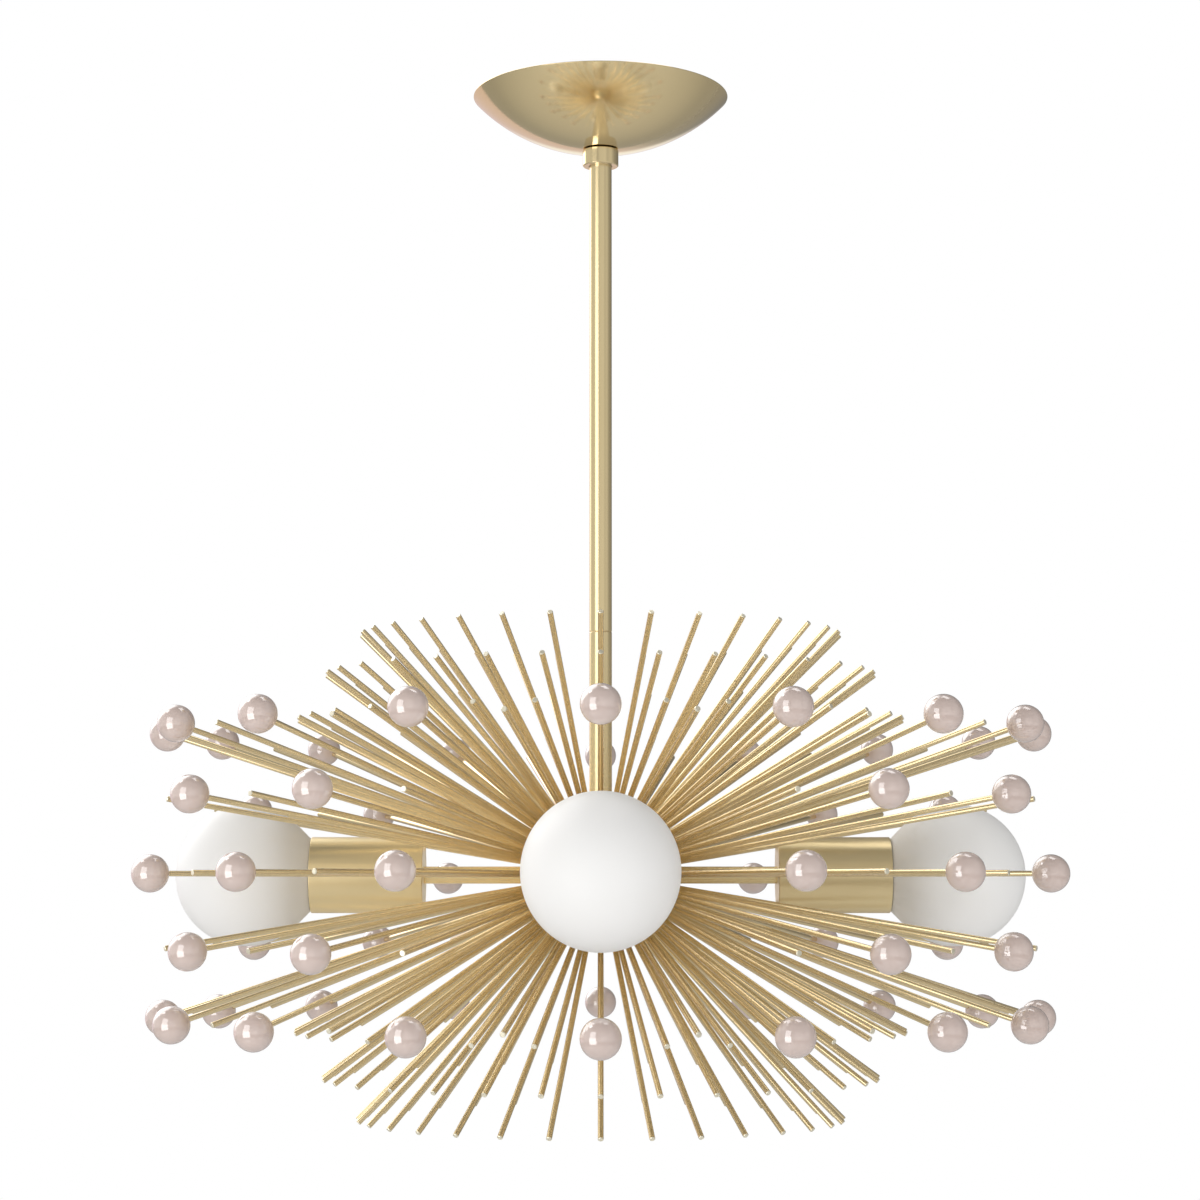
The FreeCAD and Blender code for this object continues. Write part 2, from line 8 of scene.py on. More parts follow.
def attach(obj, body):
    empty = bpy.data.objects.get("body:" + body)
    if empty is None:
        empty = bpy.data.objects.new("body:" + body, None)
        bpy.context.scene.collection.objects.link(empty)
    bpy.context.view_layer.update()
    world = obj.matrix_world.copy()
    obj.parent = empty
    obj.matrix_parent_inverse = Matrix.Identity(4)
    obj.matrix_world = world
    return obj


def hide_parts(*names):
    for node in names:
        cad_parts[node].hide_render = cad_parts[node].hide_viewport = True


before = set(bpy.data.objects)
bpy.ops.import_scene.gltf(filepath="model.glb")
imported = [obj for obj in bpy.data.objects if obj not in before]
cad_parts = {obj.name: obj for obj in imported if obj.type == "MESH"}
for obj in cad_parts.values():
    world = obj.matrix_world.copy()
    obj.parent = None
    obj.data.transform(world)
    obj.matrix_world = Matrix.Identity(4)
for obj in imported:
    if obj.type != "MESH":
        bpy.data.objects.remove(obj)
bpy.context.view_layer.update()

# Beaded chandelier, hung from the ceiling plane at z = 0 with its front towards -Y.
# Sizes in the dictionaries are millimetres; the meshes are metres in the frame of the CAD model.
mm = 0.001
burstDepth = 444.0  # ceiling to the centre of the burst
lampSides = {"front": (0, -1, 0), "right": (1, 0, 0), "back": (0, 1, 0), "left": (-1, 0, 0)}
sharpAngle = 33.0  # edges that turn by more degrees stay sharp
roundSteps = 4  # rows round a softened corner
print("frame loaded:", len(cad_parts), "nodes")


# node helpers, for shader and geometry trees alike
class Value:
    # one output of a node, for use in formulas; value["Name"] is another output of the same node
    def __init__(self, tree, socket):
        self.tree, self.socket = tree, socket

    def __getitem__(self, key):
        return Value(self.tree, self.socket.node.outputs[key])

    def math(self, operation, *others, kind="ShaderNodeMath"):
        return addNode(self.tree, kind, dict(enumerate((self, *others))), operation=operation)

    def vector(self, operation, *others):
        return self.math(operation, *others, kind="ShaderNodeVectorMath")

    def __rsub__(self, other):
        return addNode(self.tree, "ShaderNodeMath", {0: other, 1: self}, operation="SUBTRACT")


for sign, kind in (("add", "ADD"), ("sub", "SUBTRACT"), ("mul", "MULTIPLY"), ("truediv", "DIVIDE"),
                   ("mod", "MODULO")):
    setattr(Value, f"__{sign}__", lambda self, other, kind=kind: self.math(kind, other))


def setInputs(node, values):
    for key, value in values.items():
        if isinstance(value, Value):
            value.tree.links.new(value.socket, node.inputs[key])
        else:
            node.inputs[key].default_value = value


def addNode(tree, kind, inputs=None, **settings):
    node = tree.nodes.new(kind)
    for key, value in settings.items():
        setattr(node, key, value)
    setInputs(node, inputs or {})
    return Value(tree, node.outputs[0])


def combine(tree, **parts):
    return addNode(tree, "ShaderNodeCombineXYZ", parts)


def separate(place):
    return addNode(place.tree, "ShaderNodeSeparateXYZ", {0: place})


def ramp(value, start, end, low=0.0, high=1.0, kind="SMOOTHSTEP"):
    # runs from low to high while the value runs from start to end
    limits = {"Value": value, "From Min": start, "From Max": end, "To Min": low, "To Max": high}
    return addNode(value.tree, "ShaderNodeMapRange", limits, interpolation_type=kind)


def blend(share, first, second):
    return addNode(share.tree, "ShaderNodeMix", {"Factor": share, "A": first, "B": second})


def blendColour(share, first, second):
    # inputs 6 and 7 and output 2 are the mix node's colours
    first, second = [c if isinstance(c, Value) else (*c, 1) for c in (first, second)]
    inputs = {"Factor": share, 6: first, 7: second}
    return addNode(share.tree, "ShaderNodeMix", inputs, data_type="RGBA")[2]


def newTree(name, kind, inputs, outputs):
    tree = bpy.data.node_groups.new(name, kind)
    for label, socketKind, value in inputs:
        socket = tree.interface.new_socket(label, in_out="INPUT", socket_type="NodeSocket" + socketKind)
        if value is not None:
            socket.default_value = value
    for label, socketKind in outputs:
        tree.interface.new_socket(label, in_out="OUTPUT", socket_type="NodeSocket" + socketKind)
    given = tree.nodes.new("NodeGroupInput")
    return tree, Value(tree, given.outputs[0]), tree.nodes.new("NodeGroupOutput")


# parts that the materials share
def noise(place, scale, detail, roughness=0.5, distortion=0.0):
    return addNode(place.tree, "ShaderNodeTexNoise",
                   {"Vector": place, "Scale": scale, "Detail": detail, "Roughness": roughness,
                    "Distortion": distortion})


def bumped(height, strength, depth):
    return addNode(height.tree, "ShaderNodeBump",
                   {"Height": height, "Strength": strength, "Distance": depth})


def attribute(tree, name):
    return addNode(tree, "ShaderNodeAttribute", attribute_name=name)


def makeEdgeWear():
    # bright rubbed corners: where the bevelled normal leaves the surface's own
    tree, given, made = newTree(
        "edgeWear", "ShaderNodeTree", [("Width", "Float", 0.0004), ("Gain", "Float", 4.0)],
        [("Edge", "Float")])
    rounded = addNode(tree, "ShaderNodeBevel", {"Radius": given["Width"]}, samples=4)
    own = addNode(tree, "ShaderNodeNewGeometry")["Normal"]
    match = rounded.vector("DOT_PRODUCT", own)["Value"]
    setInputs(made, {"Edge": ((1.0 - match) * given["Gain"]).math("MINIMUM", 1.0)})
    return tree


def makeGrain():
    # fine lines left by turning, drawing or spinning, stretched by the two scales
    tree, given, made = newTree(
        "metalGrain", "ShaderNodeTree",
        [("Place", "Vector", None), ("Across", "Float", 900.0), ("Along", "Float", 60.0)],
        [("Grain", "Float"), ("Lines", "Float")])
    scale = combine(tree, X=given["Across"], Y=given["Across"], Z=given["Along"])
    stretched = given["Place"].vector("MULTIPLY", scale)
    broad = noise(stretched, 1.0, 3.0, 0.6)
    setInputs(made, {"Grain": broad, "Lines": broad * noise(stretched, 3.7, 2.0)})
    return tree


def makeMottle():
    # slow changes of tone, as lacquer, handling and glaze leave them
    tree, given, made = newTree(
        "mottle", "ShaderNodeTree",
        [("Place", "Vector", None), ("Scale", "Float", 30.0), ("Contrast", "Float", 1.0)],
        [("Tone", "Float"), ("Smudge", "Float")])
    slow = noise(given["Place"], given["Scale"], 2.0, 0.45, 0.4)
    tone = (slow - 0.5) * given["Contrast"] + 0.5
    patches = noise(given["Place"], given["Scale"] * 3.3, 4.0, 0.62, 1.2)
    setInputs(made, {"Tone": tone.math("MAXIMUM", 0.0).math("MINIMUM", 1.0),
                     "Smudge": ramp(patches, 0.52, 0.72, kind="LINEAR")})
    return tree


edgeWear, metalGrain, mottle = makeEdgeWear(), makeGrain(), makeMottle()
reflectionPaintColour = (0.96, 0.94, 0.90)  # painted reflection: the paler colour brass is painted where it is seen mirrored in brass
reflectionPaintReach = (0.05, 0.2)  # metres between the two, from little of the painted paler reflection to most
wearWidth = 0.0004  # metres, where a look gives none
waveDepth = 0.0003  # metres


def newMaterial(name):
    material = bpy.data.materials.new(name)
    material.use_nodes = True
    return material, material.node_tree, material.node_tree.nodes["Principled BSDF"]


def placeOf(tree, look):
    # the piece's own coordinates, with the axis it was turned on as Z, or the object's
    if not look.get("ownAxis", True):
        return addNode(tree, "ShaderNodeTexCoord")["Object"]
    place = attribute(tree, "ownPlace")["Vector"]
    if "shadeName" in look:
        # each copy has a grain of its own
        place = place.vector("ADD", attribute(tree, look["shadeName"])["Fac"])
    return place


def startMaterial(name, look):
    # mottled between the look's two tones; the mottle is given by its scale and contrast
    material, tree, shader = newMaterial(name)
    place = placeOf(tree, look)
    scale, contrast = look["mottle"]
    tone = addNode(tree, "ShaderNodeGroup", {"Place": place, "Scale": scale, "Contrast": contrast},
                   node_tree=mottle)
    return material, shader, place, tone, blendColour(tone["Tone"], look["dark"], look["light"])


def metal(name, **look):
    # grain gives its scales across and along; rough the level, its swing with the grain and what
    # smudges add; bump its strength and depth; wear its width; and the painted reflection its share near
    # by and far off
    material, shader, place, tone, colour = startMaterial(name, look)
    tree = place.tree
    across, along = look["grain"]
    grain = addNode(tree, "ShaderNodeGroup", {"Place": place, "Across": across, "Along": along},
                    node_tree=metalGrain)
    if "shadeName" in look:
        shade = attribute(tree, look["shadeName"])["Fac"] * look["shadeShare"]
        colour = blendColour(shade, colour, look["shadeColour"])
    if "worn" in look:
        width = look.get("wear", wearWidth)
        wear = addNode(tree, "ShaderNodeGroup", {"Width": width}, node_tree=edgeWear)
        colour = blendColour(wear["Edge"], colour, look["worn"])
    if "echo" in look:
        # painted reflection: paler where a bright piece further off mirrors it, so that brass in brass
        # isn't all orange
        path = addNode(tree, "ShaderNodeLightPath")
        share = ramp(path["Ray Length"], *reflectionPaintReach, *look["echo"], kind="LINEAR")
        colour = blendColour(share * path["Is Glossy Ray"], colour, reflectionPaintColour)
    level, swing, smudge = look["rough"]
    rough = tone["Smudge"] * smudge + (grain["Grain"] * swing + (level - swing / 2))
    if "endName" in look:
        # faced ends are duller than the drawn sides, and painted paler: partly their own cut colour,
        # partly a painted highlight on the tips
        end = attribute(tree, look["endName"])["Fac"]
        colour = blendColour(end, colour, look["endColour"])
        rough = rough.math("MAXIMUM", end * look["endRough"])
    setInputs(shader, {"Metallic": 1.0, "Base Color": colour, "Roughness": rough,
                       "Normal": bumped(grain["Lines"], *look["bump"])})
    return material


def ceramic(name, **look):
    # specks give their scale, size, share and colour; rough the level and what smudges add; coat its
    # weight and roughness; waves their scale and strength
    material, shader, place, tone, colour = startMaterial(name, look)
    speckScale, speckSize, speckShare, speckColour = look["specks"]
    cells = addNode(place.tree, "ShaderNodeTexVoronoi", {"Vector": place, "Scale": speckScale})
    dots = ramp(cells["Distance"], speckSize, 0.0, kind="LINEAR")
    level, smudge = look["rough"]
    coat, coatRough = look["coat"]
    waveScale, waveStrength = look["waves"]
    setInputs(shader, {"Base Color": blendColour(dots * speckShare, colour, speckColour),
                       "Roughness": tone["Smudge"] * smudge + level, "IOR": look["ior"],
                       "Coat Weight": coat, "Coat Roughness": coatRough,
                       "Normal": bumped(noise(place, waveScale, 1.0), waveStrength, waveDepth)})
    return material


brassTones = {"light": (0.875, 0.715, 0.42), "dark": (0.84, 0.68, 0.38), "worn": (0.93, 0.79, 0.53)}
turnedBrass = metal("turnedBrass", **brassTones, grain=(350, 2600), rough=(0.14, 0.05, 0.03),
                    bump=(0.05, 0.00004), mottle=(22, 1), echo=(0.5, 0.5))
spunBrass = metal("spunBrass", **brassTones, grain=(60, 900), rough=(0.11, 0.02, 0.02),
                  bump=(0.01, 0.00002), mottle=(16, 1), wear=0.0005)
drawnBrass = metal("drawnBrass", **brassTones, grain=(1500, 25), rough=(0.21, 0.03, 0.03),
                   bump=(0.02, 0.00003), mottle=(14, 1), echo=(0.5, 0.5))
cupBrass = metal("cupBrass", **brassTones, grain=(60, 2200), rough=(0.29, 0.04, 0.03),
                 bump=(0.01, 0.00002), mottle=(20, 1), echo=(0.2, 0.75))
rodBrass = metal("rodBrass", light=(0.85, 0.70, 0.425), dark=(0.79, 0.635, 0.37), grain=(700, 30),
                 rough=(0.11, 0.02, 0.02), bump=(0.005, 0.00001), mottle=(20, 1), echo=(0.2, 0.6),
                 shadeName="rodShade", shadeShare=0.4, shadeColour=(0.72, 0.58, 0.34),
                 # the rod ends are painted paler, partly their cut colour and partly a painted highlight
                 # on the tips
                 endName="rodEnd", endColour=(0.98, 0.92, 0.74), endRough=0.42)
plainBrass = metal("plainBrass", light=(0.82, 0.64, 0.34), dark=(0.66, 0.48, 0.22),
                   worn=(0.92, 0.76, 0.46), ownAxis=False, grain=(700, 700), rough=(0.3, 0.14, 0.1),
                   bump=(0.15, 0.00006), mottle=(60, 1.6))
zincSteel = metal("zincSteel", light=(0.62, 0.63, 0.65), dark=(0.44, 0.45, 0.48),
                  worn=(0.8, 0.8, 0.8), ownAxis=False, grain=(260, 260), rough=(0.38, 0.2, 0.15),
                  bump=(0.2, 0.00008), mottle=(90, 2.2))
greenSteel = metal("greenSteel", light=(0.10, 0.36, 0.17), dark=(0.06, 0.24, 0.12),
                   worn=(0.5, 0.55, 0.5), ownAxis=False, grain=(500, 500), rough=(0.35, 0.15, 0.1),
                   bump=(0.15, 0.00005), mottle=(150, 1.5), wear=0.0003)
capMetal = metal("capMetal", light=(0.84, 0.84, 0.83), dark=(0.7, 0.7, 0.69), worn=(0.93, 0.93, 0.92),
                 grain=(300, 1500), rough=(0.28, 0.12, 0.12), bump=(0.1, 0.00005), mottle=(80, 1.4))
beadGlaze = ceramic("beadGlaze", light=(0.725, 0.58, 0.517), dark=(0.655, 0.512, 0.453),
                    mottle=(70, 1.2), specks=(900, 0.12, 0.2, (0.42, 0.31, 0.28)), rough=(0.015, 0.01),
                    ior=2.3, coat=(1.0, 0.01), waves=(120, 0.008))
socketCeramic = ceramic("socketCeramic", light=(0.84, 0.83, 0.8), dark=(0.74, 0.72, 0.68),
                        mottle=(90, 1.3), specks=(700, 0.14, 0.35, (0.5, 0.46, 0.4)), rough=(0.5, 0.1),
                        ior=1.5, coat=(0.0, 0.1), waves=(400, 0.2))
capGlass = ceramic("capGlass", light=(0.02, 0.02, 0.022), dark=(0.012, 0.012, 0.014), mottle=(90, 1),
                   specks=(700, 0.1, 0.2, (0.08, 0.08, 0.08)), rough=(0.12, 0.1), ior=1.5,
                   coat=(0.5, 0.05), waves=(500, 0.1))
opalLook = {"light": (0.965, 0.96, 0.945), "dark": (0.94, 0.93, 0.91), "mottle": (35, 1),
            # the neck colour is a painted reflection of the brass cup and painted shade near the neck
            "neck": (0.87, 0.83, 0.76), "neckShare": 0.6, "neckFrom": 0.158, "neckTo": 0.185,
            "rough": 0.42, "smudge": 0.06, "specular": 0.35,
            "frost": (2500, 0.06, 0.0001)}


def makeOpal(look):
    # creamier towards the neck, a painted reflection of the brass cup and painted shade; frost gives its
    # scale, strength and depth
    material, shader, place, tone, colour = startMaterial("opalGlass", look)
    share = ramp(separate(place)["Z"], look["neckTo"], look["neckFrom"]) * look["neckShare"]
    frost, *bump = look["frost"]
    setInputs(shader, {"Base Color": blendColour(share, colour, look["neck"]),
                       "Roughness": tone["Smudge"] * look["smudge"] + look["rough"],
                       "Specular IOR Level": look["specular"],
                       "Normal": bumped(noise(place, frost, 2.0), *bump)})
    return material


opalGlass = makeOpal(opalLook)
print("materials made")


# turned pieces: an outline is a list of (radius, height), with a third number where a corner is rounded
def armPlace(side):
    # local Z runs out along the arm from the centre of the burst
    turn = Vector(lampSides[side]).to_track_quat("Z", "Y").to_matrix().to_4x4()
    return Matrix.Translation((0, 0, -burstDepth * mm)) @ turn


def angleAt(radius, ball):
    # degrees up from the level of a ball at which its outline has this radius
    return math.degrees(math.acos(radius / ball))


def arcPoints(centreHeight, radius, first, last, steps):
    # angles in degrees up from the level, about a centre on the axis
    angles = [math.radians(first + (last - first) * k / steps) for k in range(steps + 1)]
    return [(max(0.0, radius * math.cos(a)), centreHeight + radius * math.sin(a)) for a in angles]


def stacked(radius, first, last, step):
    # many short rows up a wall, close enough together to carry a thread
    count = max(1, round(abs(last - first) / step))
    return [(radius, first + (last - first) * k / count) for k in range(count + 1)]


def screwThread(first, last, pitch, depth, fade):
    # rounded thread on the outline's own radius, fading out at both ends
    def relief(radius, height, angle):
        inside = min(height - first, last - height)
        if inside <= 0:
            return 0.0
        wave = 0.5 - 0.5 * math.cos(2 * math.pi * height / pitch - angle)
        return depth * wave * min(1.0, inside / fade)
    return relief


def softened(points):
    # rounds the corners, each with a loop beside it that holds the flat
    made = []
    for index, point in enumerate(points):
        here = Vector(point[:2])
        if len(point) < 3:
            made.append(here)
            continue
        legs = [Vector(points[k % len(points)][:2]) - here for k in (index - 1, index + 1)]
        ways = [leg.normalized() for leg in legs]
        half = legs[0].angle(legs[1]) / 2
        setback = point[2] / math.tan(half)
        centre = here + (ways[0] + ways[1]).normalized() * point[2] / math.sin(half)
        start, finish = [here + way * setback - centre for way in ways]
        turn = math.atan2(finish.y, finish.x) - math.atan2(start.y, start.x)
        turn = (turn + math.pi) % (2 * math.pi) - math.pi
        arc = [centre + Matrix.Rotation(turn * k / roundSteps, 2) @ start for k in range(roundSteps + 1)]
        beside = [here + way * (setback + min(point[2] * 0.7, 0.2 * (leg.length - setback)))
                  for way, leg in zip(ways, legs)]
        made += [beside[0], *arc, beside[1]]
    return made


def turned(name, points, sides=64, place=None, relief=None):
    # an outline that starts on the axis ends there too, and any other closes on itself
    mesh = bmesh.new()
    rings = []
    for row in softened(points):
        onAxis = row.x < 1e-4
        ring = []
        for k in range(1 if onAxis else sides):
            angle = 2 * math.pi * k / sides
            radius = row.x + (relief(row.x, row.y, angle) if relief and not onAxis else 0.0)
            ring.append(mesh.verts.new((radius * mm * math.cos(angle), radius * mm * math.sin(angle),
                                        row.y * mm)))
        rings.append(ring)
    following = rings[1:] + ([rings[0]] if len(rings[0]) > 1 else [])
    for lower, upper in zip(rings, following):
        for k in range(sides):
            corners = [lower[k % len(lower)], lower[(k + 1) % len(lower)],
                       upper[(k + 1) % len(upper)], upper[k % len(upper)]]
            corners = list(dict.fromkeys(corners))
            if len(corners) > 2:
                mesh.faces.new(corners)
    bmesh.ops.recalc_face_normals(mesh, faces=mesh.faces)
    return newPiece(name, mesh, place)


def smoothed(data):
    data.shade_smooth()
    data.set_sharp_from_angle(angle=math.radians(sharpAngle))


def addObject(name, data):
    made = bpy.data.objects.new(name, data)
    bpy.context.scene.collection.objects.link(made)
    return made


def newPiece(name, mesh, place=None):
    # where its points were before it is put in place stays with them, for the grain to follow
    data = bpy.data.meshes.new(name)
    mesh.to_mesh(data)
    mesh.free()
    spots = [0.0] * (3 * len(data.vertices))
    data.vertices.foreach_get("co", spots)
    data.attributes.new("ownPlace", "FLOAT_VECTOR", "POINT").data.foreach_set("vector", spots)
    smoothed(data)
    if place is not None:
        data.transform(place)
    return addObject(name, data)


def fit(piece, body, slotName, material, *nodes):
    # dresses a piece and puts it on its body in place of its CAD nodes
    piece.data.materials.clear()
    for item in material if isinstance(material, tuple) else (material,):
        piece.data.materials.append(item)
    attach(piece, body)
    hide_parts(*nodes)


def cutBy(piece, cutter):
    # a slot or recess, with the result kept as a plain mesh
    cut = piece.modifiers.new("cut", "BOOLEAN")
    cut.operation = "DIFFERENCE"
    cut.solver = "EXACT"
    cut.object = cutter
    solved = bpy.data.meshes.new_from_object(piece.evaluated_get(bpy.context.evaluated_depsgraph_get()))
    piece.modifiers.remove(cut)
    bpy.data.objects.remove(cutter)
    solved.name = piece.name
    piece.data = solved
    smoothed(solved)


def drill(radius, start, end, sides, place):
    return turned("cutter", [(0, start), (radius, start), (radius, end), (0, end)], sides, place)


def slotCutter(x, face, length, width, depth):
    # a block across the foot of a piece, up to the slot's depth
    mesh = bmesh.new()
    bmesh.ops.create_cube(mesh, size=1.0)
    low = Vector((x - length / 2, -width / 2, face - overrun)) * mm
    size = Vector((length, width, depth + overrun)) * mm
    bmesh.ops.transform(mesh, matrix=Matrix.Translation(low + size / 2) @ Matrix.Diagonal((*size, 1)),
                        verts=mesh.verts)
    return newPiece("cutter", mesh)


overrun = 1.0  # how far a cutter stands out of what it cuts
play = 0.05  # between a piece and the hole that it sits in
canopySizes = {"radius": 73.2, "height": 31.1, "wall": 1.0, "hole": 6.6, "rimRound": 0.32,
               "holeRound": 0.3, "sides": 160, "steps": 44}


def makeCanopy(radius, height, wall, hole, rimRound, holeRound, sides, steps):
    ball = (radius ** 2 + height ** 2) / (2 * height)
    centre = ball - height
    inner = ball - wall
    rim = math.sqrt(inner ** 2 - centre ** 2)
    outside = arcPoints(centre, ball, -angleAt(radius, ball), -angleAt(hole, ball), steps)
    inside = arcPoints(centre, inner, -angleAt(hole, inner), -angleAt(rim, inner), steps)
    outside[0] += (rimRound,)
    outside[-1] += (holeRound,)
    inside[0] += (holeRound,)
    inside[-1] += (rimRound,)
    fit(turned("canopyShell", outside + inside, sides), "canopy", "satin_brass", spunBrass, "canopy")


collarSizes = {"radius": 10.2, "bore": 6.6, "top": 31.18, "foot": 40.48, "chamfer": 0.5,
               "screwRadius": 2.0, "screwChamfer": 0.3, "screwPitch": 0.7, "threadDepth": 0.2,
               "keyAcross": 1.0, "keyDepth": 1.5}


def makeCollar(radius, bore, top, foot, chamfer, screwRadius, screwChamfer, screwPitch, threadDepth,
               keyAcross, keyDepth):
    outer = radius - chamfer
    toBack = Matrix.Translation((0, 0, -(top + foot) / 2 * mm)) @ Matrix.Rotation(-math.pi / 2, 4, "X")
    ring = turned("slipCollar", [
        (bore, -top, 0.25), (radius, -top, 0.25), (radius, -foot + chamfer, 0.15),
        (outer, -foot, 0.15), (bore, -foot, 0.25)], sides=96)
    cutBy(ring, drill(screwRadius + play, 0, 2 * radius, 32, toBack))
    fit(ring, "collar", "satin_brass", turnedBrass, "collar")
    screw = turned("collarGrubScrew", [
        (0, bore), (screwRadius - screwChamfer, bore), (screwRadius, bore + screwChamfer),
        *stacked(screwRadius, bore + 0.5, outer - 0.5, 0.1),
        (screwRadius, outer - screwChamfer), (screwRadius - screwChamfer, outer), (0, outer)],
        sides=32, place=toBack,
        relief=screwThread(bore + 0.4, outer - screwChamfer, screwPitch, -threadDepth, 0.3))
    cutBy(screw, drill(keyAcross, outer - keyDepth, outer + overrun, 6, toBack))
    fit(screw, "collar", "plain_brass", plainBrass, "collar_screw")


stemSizes = {"radius": 6.35, "bore": 5.05, "top": 25.19, "seam": 308.0, "foot": 420.0,
             "seamRound": 0.45}


def makeStem(radius, bore, top, seam, foot, seamRound):
    for name, high, low, node in (("upperTube", top, seam, "upper_stem"),
                                  ("lowerTube", seam, foot, "lower_stem")):
        tube = turned(name, [(bore, -low), (radius, -low, seamRound), (radius, -high, seamRound),
                             (bore, -high)])
        fit(tube, "fixture", "satin_brass", drawnBrass, node)


makeCanopy(**canopySizes)
makeCollar(**collarSizes)
makeStem(**stemSizes)
print("canopy, collar and stem made")


def fromCad(name, node, width):
    # a copy of the CAD solid's mesh with its corners broken, for the bar and its nut
    mesh = bmesh.new()
    mesh.from_mesh(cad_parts[node].data)
    bmesh.ops.remove_doubles(mesh, verts=mesh.verts, dist=1e-6)
    bmesh.ops.dissolve_limit(mesh, angle_limit=math.radians(2), verts=mesh.verts, edges=mesh.edges)
    corners = [edge for edge in mesh.edges if len(edge.link_faces) == 2
               and edge.calc_face_angle() > math.radians(40)]
    bmesh.ops.bevel(mesh, geom=corners, offset=width * mm, segments=2, profile=0.5, affect="EDGES")
    fit(newPiece(name, mesh), "bar", "zinc_steel", zincSteel, node)


boltSizes = {"top": 2.0, "underHead": 10.0, "foot": 12.0, "radius": 5.0, "bore": 3.0, "head": 7.4,
             "chamfer": 0.4, "pitch": 1.0, "threadDepth": 0.35, "plain": 0.6}


def makeBolt(top, underHead, foot, radius, bore, head, chamfer, pitch, threadDepth, plain):
    bolt = turned("hangerBolt", [
        (bore, -top, 0.2), (radius - chamfer, -top),
        *stacked(radius, -top - chamfer, -underHead + plain, 0.12),
        (radius, -underHead), (head, -underHead, 0.3), (head, -foot, 0.4), (bore, -foot, 0.3)],
        sides=48, relief=screwThread(-underHead + plain, -top, pitch, -threadDepth, 0.5))
    fit(bolt, "bar", "zinc_steel", zincSteel, "hanger_bolt")


groundSizes = {"x": 17.0, "top": 3.0, "underHead": 7.0, "foot": 9.2, "radius": 2.0, "head": 3.2,
               "chamfer": 0.4, "pitch": 0.7, "threadDepth": 0.25, "plain": 0.2,
               "slotWidth": 0.8, "slotDepth": 0.9}


def makeGroundScrew(x, top, underHead, foot, radius, head, chamfer, pitch, threadDepth, plain, slotWidth,
                    slotDepth):
    screw = turned("groundScrew", [
        (0, -top), (radius - chamfer, -top),
        *stacked(radius, -top - chamfer, -underHead + plain, 0.1),
        (radius, -underHead), (head, -underHead, 0.15), (head, -foot, 0.6), (0, -foot)],
        sides=40, place=Matrix.Translation((x * mm, 0, 0)),
        relief=screwThread(-underHead + plain, -top, pitch, -threadDepth, 0.4))
    cutBy(screw, slotCutter(x, -foot, 2 * head + 2 * overrun, slotWidth, slotDepth))
    fit(screw, "bar", "ground_green", greenSteel, "ground_screw")


swivelSizes = {"radius": 10.0, "top": 7.3, "capFoot": 9.7, "capRadius": 8.6, "boltHole": 5.08,
               "cavity": 7.7, "ballDepth": 18.6, "seat": 6.38, "mouth": 4.9, "ball": 6.3, "neck": 3.4,
               "bore": 1.8, "shoulderTop": 24.19, "shoulderFoot": 25.19, "plug": 5.0, "plugFoot": 33.19,
               "grooveTop": 13.2, "grooveFoot": 14.8, "grooveDepth": 0.5, "grooveSlope": 0.4}


def makeSwivel(radius, top, capFoot, capRadius, boltHole, cavity, ballDepth, seat, mouth, ball, neck, bore,
               shoulderTop, shoulderFoot, plug, plugFoot, grooveTop, grooveFoot, grooveDepth, grooveSlope):
    seatFoot = ballDepth + math.sqrt(seat ** 2 - mouth ** 2)
    bowl = arcPoints(-ballDepth, seat, -angleAt(mouth, seat), 0, 10)
    housing = turned("swivelHousing", [
        (mouth, -seatFoot), *bowl[1:], (cavity, -ballDepth), (cavity, -capFoot),
        (capRadius + play, -capFoot), (capRadius + play, -top), (radius, -top, 0.4),
        (radius, -grooveTop, 0.2), (radius - grooveDepth, -grooveTop - grooveSlope, 0.2),
        (radius - grooveDepth, -grooveFoot + grooveSlope, 0.2), (radius, -grooveFoot, 0.2),
        (radius, -seatFoot, 1.2)], sides=72)
    fit(housing, "swivel", "plain_brass", plainBrass, "swivel_housing")
    cap = turned("swivelCap", [(boltHole, -capFoot), (capRadius, -capFoot, 0.2), (capRadius, -top, 0.3),
                               (boltHole, -top, 0.2)])
    fit(cap, "swivel", "plain_brass", plainBrass, "swivel_cap")
    stem = stemSizes["radius"]
    piece = turned("swivelBall", [
        *arcPoints(-ballDepth, ball, angleAt(bore, ball), -angleAt(neck, ball), 28),
        (neck, -shoulderTop, 0.4), (stem, -shoulderTop, 0.2), (stem, -shoulderFoot, 0.1),
        (plug, -shoulderFoot), (plug, -plugFoot, 0.4), (bore, -plugFoot)])
    fit(piece, "fixture", "plain_brass", plainBrass, "swivel_ball")


fromCad("ceilingStrap", "ceiling_bar", 0.25)
fromCad("hangerNut", "hanger_nut", 0.35)
makeBolt(**boltSizes)
makeGroundScrew(**groundSizes)
makeSwivel(**swivelSizes)
print("ceiling bar and swivel made")


hubSizes = {"radius": 35.0, "cavity": 12.0, "cavityTop": 14.0, "wire": 4.0, "stemHole": 6.4,
            "stemFoot": 24.0, "plugTop": 28.0, "slotWidth": 1.6, "slotLength": 13.0, "slotDepth": 1.4}


